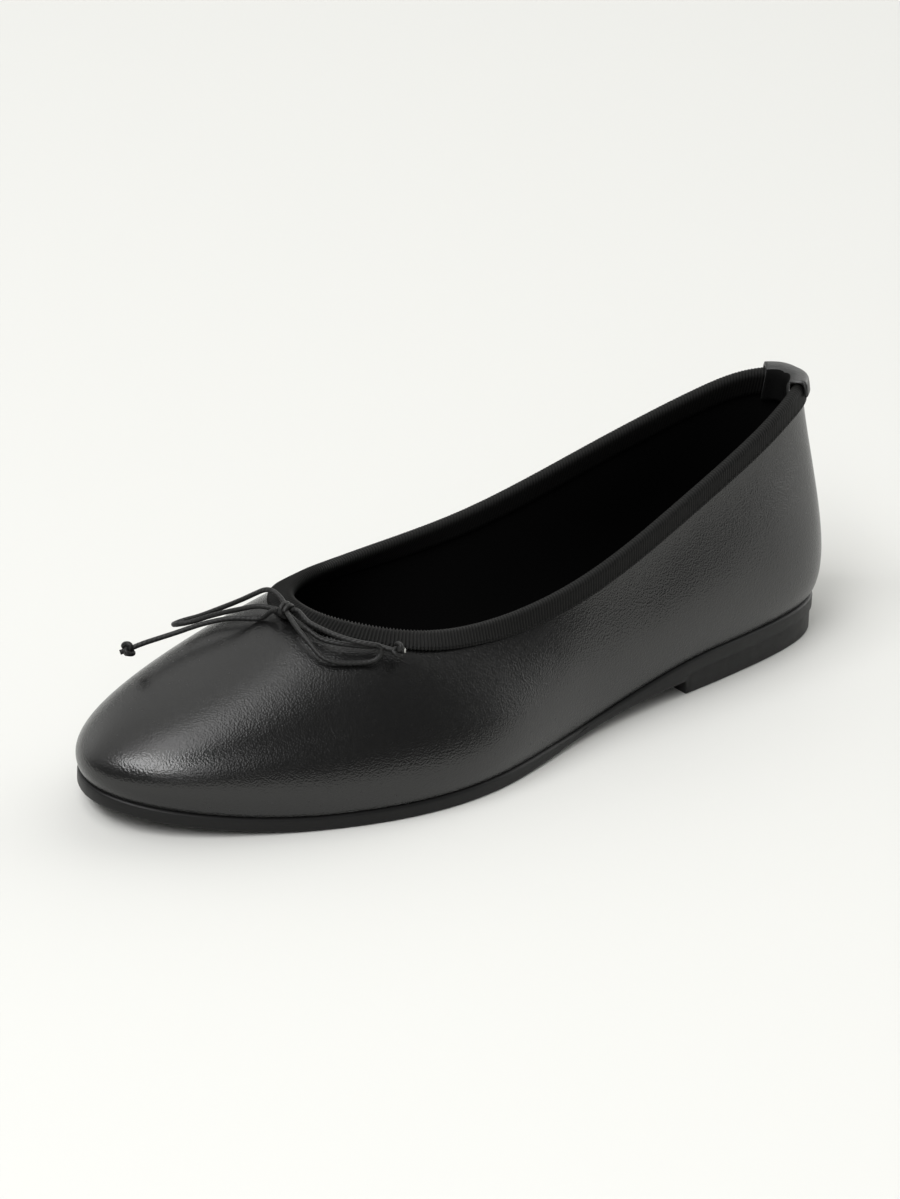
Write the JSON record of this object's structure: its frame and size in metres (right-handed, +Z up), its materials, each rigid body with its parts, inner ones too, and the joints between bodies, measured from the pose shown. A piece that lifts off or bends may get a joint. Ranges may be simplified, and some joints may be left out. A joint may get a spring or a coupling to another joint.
{
  "type": "ballet flat",
  "caption": "Low round-toed slip-on flat shoe for the left foot, smooth black leather, ribbed ribbon topline, thin cord bow, low block heel.",
  "frame": {"origin": "on the floor under the middle of the shoe's box, the bow's cord left out", "axes": "+Z up, +Y towards the heel, +X towards the outer side of the left foot"},
  "size_m": [0.0846, 0.2466, 0.0748],
  "materials": {
    "leather": "smooth black leather, satin, fine grain",
    "rubber": "moulded black rubber, matt",
    "lining": "black insole lining, matt",
    "ribbon": "black ribbed ribbon",
    "cord": "thin round black cord, slight sheen",
    "tab_leather": "black leather strip, satin"
  },
  "bodies": {
    "root": {"outsole": "rubber", "upper": "leather", "insole": "lining", "topline_binding": "ribbon", "heel_tab": "tab_leather", "bow_loop_out": "cord", "bow_loop_in": "cord", "bow_end_out": "cord", "bow_end_in": "cord", "bow_knot": "cord", "end_knot_out": "cord", "end_knot_in": "cord"}
  },
  "joints": []
}
